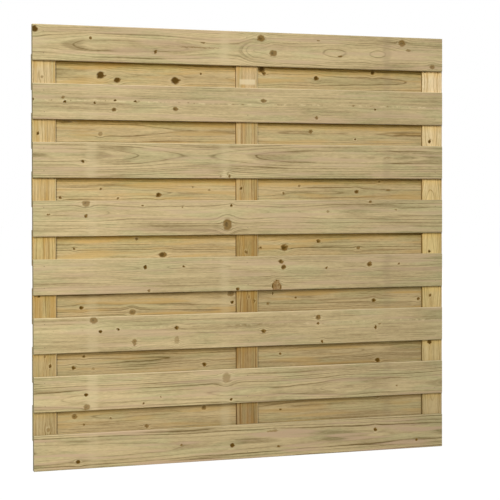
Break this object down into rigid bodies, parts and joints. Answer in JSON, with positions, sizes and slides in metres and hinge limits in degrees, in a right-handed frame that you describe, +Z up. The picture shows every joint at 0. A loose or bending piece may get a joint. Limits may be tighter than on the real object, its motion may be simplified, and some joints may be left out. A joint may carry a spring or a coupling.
{
  "type": "privacy fence panel",
  "caption": "Privacy fence panel of pressure-treated softwood: level boards lapped on both faces of three upright battens, held between posts.",
  "frame": {"origin": "middle of the left batten's outer edge, where the panel meets its post", "axes": "+X along the panel from the left batten to the right one, +Z up, -Y is the front with the most boards"},
  "size_m": [1.807, 0.0486, 1.8],
  "materials": {
    "front_wood": "planed, pressure-impregnated softwood, tan with a green cast, matt",
    "rear_wood": "planed, pressure-impregnated softwood, a little darker, matt",
    "batten_wood": "planed, pressure-impregnated softwood, warmer, matt",
    "nails": "small round nail heads, dulled"
  },
  "bodies": {
    "root": {"front_board_1": "front_wood", "front_board_2": "front_wood", "front_board_3": "front_wood", "front_board_4": "front_wood", "front_board_5": "front_wood", "front_board_6": "front_wood", "front_board_7": "front_wood", "front_board_8": "front_wood", "rear_board_1": "rear_wood", "rear_board_2": "rear_wood", "rear_board_3": "rear_wood", "rear_board_4": "rear_wood", "rear_board_5": "rear_wood", "rear_board_6": "rear_wood", "rear_board_7": "rear_wood", "left_batten": "batten_wood", "middle_batten": "batten_wood", "right_batten": "batten_wood"}
  },
  "joints": []
}
